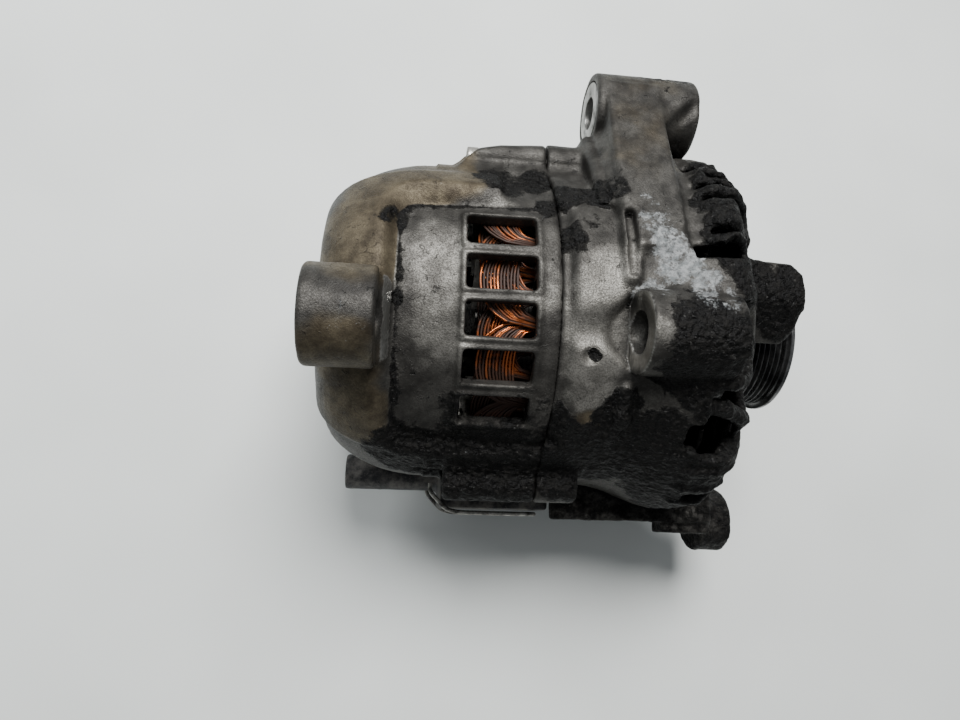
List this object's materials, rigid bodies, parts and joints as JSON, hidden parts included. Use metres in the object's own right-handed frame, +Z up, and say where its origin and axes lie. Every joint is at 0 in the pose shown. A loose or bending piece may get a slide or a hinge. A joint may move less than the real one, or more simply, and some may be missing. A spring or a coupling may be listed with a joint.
{
  "type": "car alternator",
  "caption": "Belt-driven claw-pole generator for a car engine: cast brackets with mounting lugs, ribbed pulley, stator, rotor, brushes and rectifier.",
  "frame": {"origin": "middle of the whole machine's footprint, on the bench that it lies on; the rotor axis passes 3.5 mm towards -Y from there, 74.0 mm up", "axes": "+X along the rotor axis towards the pulley, +Z up as the machine lies on a bench, +Y towards the upper lug"},
  "size_m": [0.1898, 0.19, 0.1564],
  "materials": {
    "rear_casting": "rough-cast, silver grey under a thin brown oil film",
    "front_casting": "rough-cast, caked in black grainy grime with pale corrosion",
    "laminations": "dark, slightly rusty",
    "winding_wire": "enamelled copper wire",
    "coil_wire": "enamelled copper wire under varnish",
    "ground_steel": "ground or turned, bare",
    "plated_steel": "dull zinc plate",
    "pulley_steel": "dark, polished on the ribs by the belt",
    "ring_copper": "turned copper, worn bright",
    "black_moulding": "matte black",
    "cooling_plate": "pressed sheet",
    "diode_can": "nickel plate",
    "brush_carbon": "graphite",
    "spring_wire": "bare spring steel",
    "grey_moulding": "black plastic under grey dust",
    "pin_brass": "tinned brass"
  },
  "bodies": {
    "housing": {"bearing_retainer": "plated_steel", "brush_holder": "black_moulding", "connector_housing": "grey_moulding", "connector_pin_1": "pin_brass", "connector_pin_2": "pin_brass", "connector_pin_3": "pin_brass", "connector_pin_4": "pin_brass", "cover_screw_1": "plated_steel", "cover_screw_2": "plated_steel", "cover_screw_3": "plated_steel", "front_bearing_outer_race": "ground_steel", "front_bracket": "front_casting", "front_winding": "winding_wire", "inner_brush_spring": "spring_wire", "negative_diode_1": "diode_can", "negative_diode_2": "diode_can", "negative_diode_3": "diode_can", "negative_plate": "cooling_plate", "outer_brush_spring": "spring_wire", "output_nut": "plated_steel", "output_stud": "plated_steel", "positive_diode_1": "diode_can", "positive_diode_2": "diode_can", "positive_diode_3": "diode_can", "positive_plate": "cooling_plate", "rear_bearing_outer_race": "ground_steel", "rear_bracket": "rear_casting", "rear_cover": "black_moulding", "rear_winding": "winding_wire", "retainer_screw_1": "plated_steel", "retainer_screw_2": "plated_steel", "retainer_screw_3": "plated_steel", "stator_core": "laminations", "through_bolt_1": "plated_steel", "through_bolt_2": "plated_steel", "through_bolt_3": "plated_steel", "through_bolt_4": "plated_steel", "upper_lug_bush": "ground_steel", "voltage_regulator": "black_moulding"},
    "rotor": {"rotor_shaft": "ground_steel", "rear_claw_pole": "laminations", "front_claw_pole": "laminations", "field_coil": "coil_wire", "front_fan": "plated_steel", "rear_fan": "plated_steel", "slip_ring_sleeve": "black_moulding", "outer_slip_ring": "ring_copper", "inner_slip_ring": "ring_copper", "front_bearing_inner_race": "ground_steel", "rear_bearing_inner_race": "ground_steel", "shaft_collar": "plated_steel", "pulley": "pulley_steel", "pulley_nut": "plated_steel"},
    "outer_brush_body": {"outer_brush": "brush_carbon"},
    "inner_brush_body": {"inner_brush": "brush_carbon"},
    "bail": {"connector_bail": "spring_wire"}
  },
  "joints": [
    {"name": "rotor_spin", "type": "hinge", "parent": "housing", "child": "rotor", "pos_m": [-0.01145, -0.0035, 0.07402], "axis": [1, 0, 0], "continuous": true},
    {"name": "outer_brush_travel", "type": "slide", "parent": "housing", "child": "outer_brush_body", "axis": [0, 0, -1], "range_m": [0, 0.005], "stiffness_N_per_m": 150, "springref_m": -0.015, "deforming": ["outer_brush_spring"]},
    {"name": "inner_brush_travel", "type": "slide", "parent": "housing", "child": "inner_brush_body", "axis": [0, 0, -1], "range_m": [0, 0.005], "stiffness_N_per_m": 150, "springref_m": -0.015, "deforming": ["inner_brush_spring"]},
    {"name": "bail_swing", "type": "hinge", "parent": "housing", "child": "bail", "pos_m": [-0.00545, -0.0811, 0.04402], "axis": [0, 0, 1], "range_deg": [0, 25]}
  ]
}
